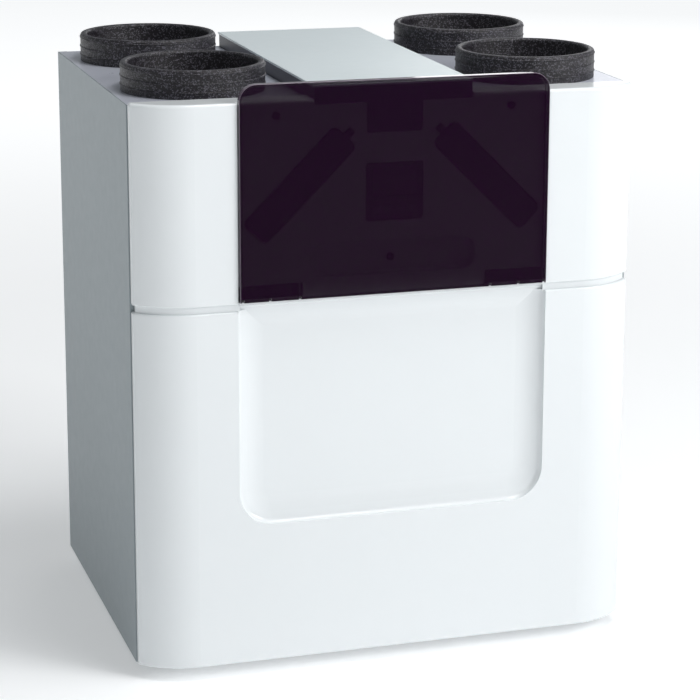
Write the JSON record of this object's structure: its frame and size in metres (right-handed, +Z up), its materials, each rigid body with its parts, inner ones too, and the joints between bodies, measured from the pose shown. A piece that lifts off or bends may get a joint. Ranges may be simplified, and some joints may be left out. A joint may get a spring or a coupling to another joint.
{
  "type": "heat recovery ventilation unit",
  "caption": "Wall-hung heat recovery ventilation unit: grey sheet casing, round duct collars on top, white moulded front covers and a tinted visor that folds down over the display and filters.",
  "frame": {"origin": "middle of the overall box in X and Y, at its bottom in Z", "axes": "+Z up, the front with the visor faces -Y, +X to the right seen from the front"},
  "size_m": [0.725, 0.57, 0.85],
  "materials": {
    "casing_grey": "satin coated",
    "body_foam": "moulded bead foam",
    "collar_foam": "moulded bead foam",
    "cover_white": "gloss",
    "visor_tint": "tinted clear plastic, gloss",
    "dark_plastic": "fine grain",
    "steel": "machined",
    "zinc_steel": "zinc plated",
    "box_grey": "fine grain",
    "lid_grey": "satin coated",
    "gland_black": "fine grain",
    "board_green": "solder mask",
    "terminal_green": "moulded",
    "display_glass": "gloss",
    "key_grey": "fine grain",
    "filter_media": "pleated fleece",
    "exchanger_plastic": "stacked plates",
    "frame_aluminium": "extruded",
    "strap_fabric": "woven",
    "rubber_black": "moulded",
    "fan_black": "moulded",
    "motor_aluminium": "cast",
    "wheel_grey": "moulded",
    "damper_grey": "moulded",
    "tray_black": "moulded"
  },
  "bodies": {
    "casing": {"side_panel_left": "casing_grey", "side_panel_right": "casing_grey", "back_panel": "casing_grey", "top_plate": "casing_grey", "base_plate": "casing_grey", "foam_body": "body_foam", "foam_front_panel": "body_foam", "duct_collar_front_left": "collar_foam", "duct_collar_rear_left": "collar_foam", "duct_collar_front_right": "collar_foam", "duct_collar_rear_right": "collar_foam", "upper_front_cover": "cover_white", "lower_front_cover": "cover_white", "grip_cup": "cover_white", "hinge_block_left": "dark_plastic", "hinge_block_right": "dark_plastic", "display_frame": "dark_plastic", "filter_cap_left": "dark_plastic", "filter_cap_right": "dark_plastic", "bypass_drive": "dark_plastic", "drain_cap": "dark_plastic", "hinge_pin_left": "steel", "hinge_pin_right": "steel", "cover_screws": "steel", "board_posts": "steel", "wall_bracket": "zinc_steel", "hook_rail": "zinc_steel", "electronics_box": "box_grey", "electronics_lid": "lid_grey", "cable_glands": "gland_black", "circuit_board": "board_green", "terminal_block": "terminal_green", "display_window": "display_glass", "filter_left": "filter_media", "filter_right": "filter_media", "heat_exchanger_core": "exchanger_plastic", "exchanger_frame_front": "frame_aluminium", "exchanger_frame_rear": "frame_aluminium", "exchanger_strap": "strap_fabric", "exchanger_seals": "rubber_black", "wall_buffers": "rubber_black", "fan_housing_left": "fan_black", "fan_housing_right": "fan_black", "fan_inlet_left": "fan_black", "fan_inlet_right": "fan_black", "fan_motor_left": "motor_aluminium", "fan_motor_right": "motor_aluminium", "bypass_frame": "damper_grey", "condensate_tray": "tray_black", "drain_spigot_left": "tray_black", "drain_spigot_right": "tray_black"},
    "visor": {"visor": "visor_tint"},
    "fan_wheel_left": {"fan_wheel_left": "wheel_grey"},
    "fan_wheel_right": {"fan_wheel_right": "wheel_grey"},
    "bypass_flap": {"bypass_flap": "damper_grey"},
    "display_key_1": {"display_key_1": "key_grey"},
    "display_key_2": {"display_key_2": "key_grey"},
    "display_key_3": {"display_key_3": "key_grey"},
    "display_key_4": {"display_key_4": "key_grey"}
  },
  "joints": [
    {"name": "visor_hinge", "type": "hinge", "parent": "casing", "child": "visor", "pos_m": [0, -0.282, 0.5435], "axis": [1, 0, 0], "range_deg": [0, 180]},
    {"name": "fan_spin_left", "type": "hinge", "parent": "casing", "child": "fan_wheel_left", "pos_m": [-0.225, 0.118, 0.18], "axis": [0, 1, 0], "continuous": true},
    {"name": "fan_spin_right", "type": "hinge", "parent": "casing", "child": "fan_wheel_right", "pos_m": [0.225, 0.118, 0.18], "axis": [0, 1, 0], "continuous": true},
    {"name": "bypass_spindle", "type": "hinge", "parent": "casing", "child": "bypass_flap", "pos_m": [0.202, -0.1193, 0.51], "axis": [0, 1, 0], "range_deg": [0, 90]},
    {"name": "key_press_1", "type": "slide", "parent": "casing", "child": "display_key_1", "axis": [0, 1, 0], "range_m": [0, 0.0008], "stiffness_N_per_m": 900},
    {"name": "key_press_2", "type": "slide", "parent": "casing", "child": "display_key_2", "axis": [0, 1, 0], "range_m": [0, 0.0008], "stiffness_N_per_m": 900},
    {"name": "key_press_3", "type": "slide", "parent": "casing", "child": "display_key_3", "axis": [0, 1, 0], "range_m": [0, 0.0008], "stiffness_N_per_m": 900},
    {"name": "key_press_4", "type": "slide", "parent": "casing", "child": "display_key_4", "axis": [0, 1, 0], "range_m": [0, 0.0008], "stiffness_N_per_m": 900}
  ]
}
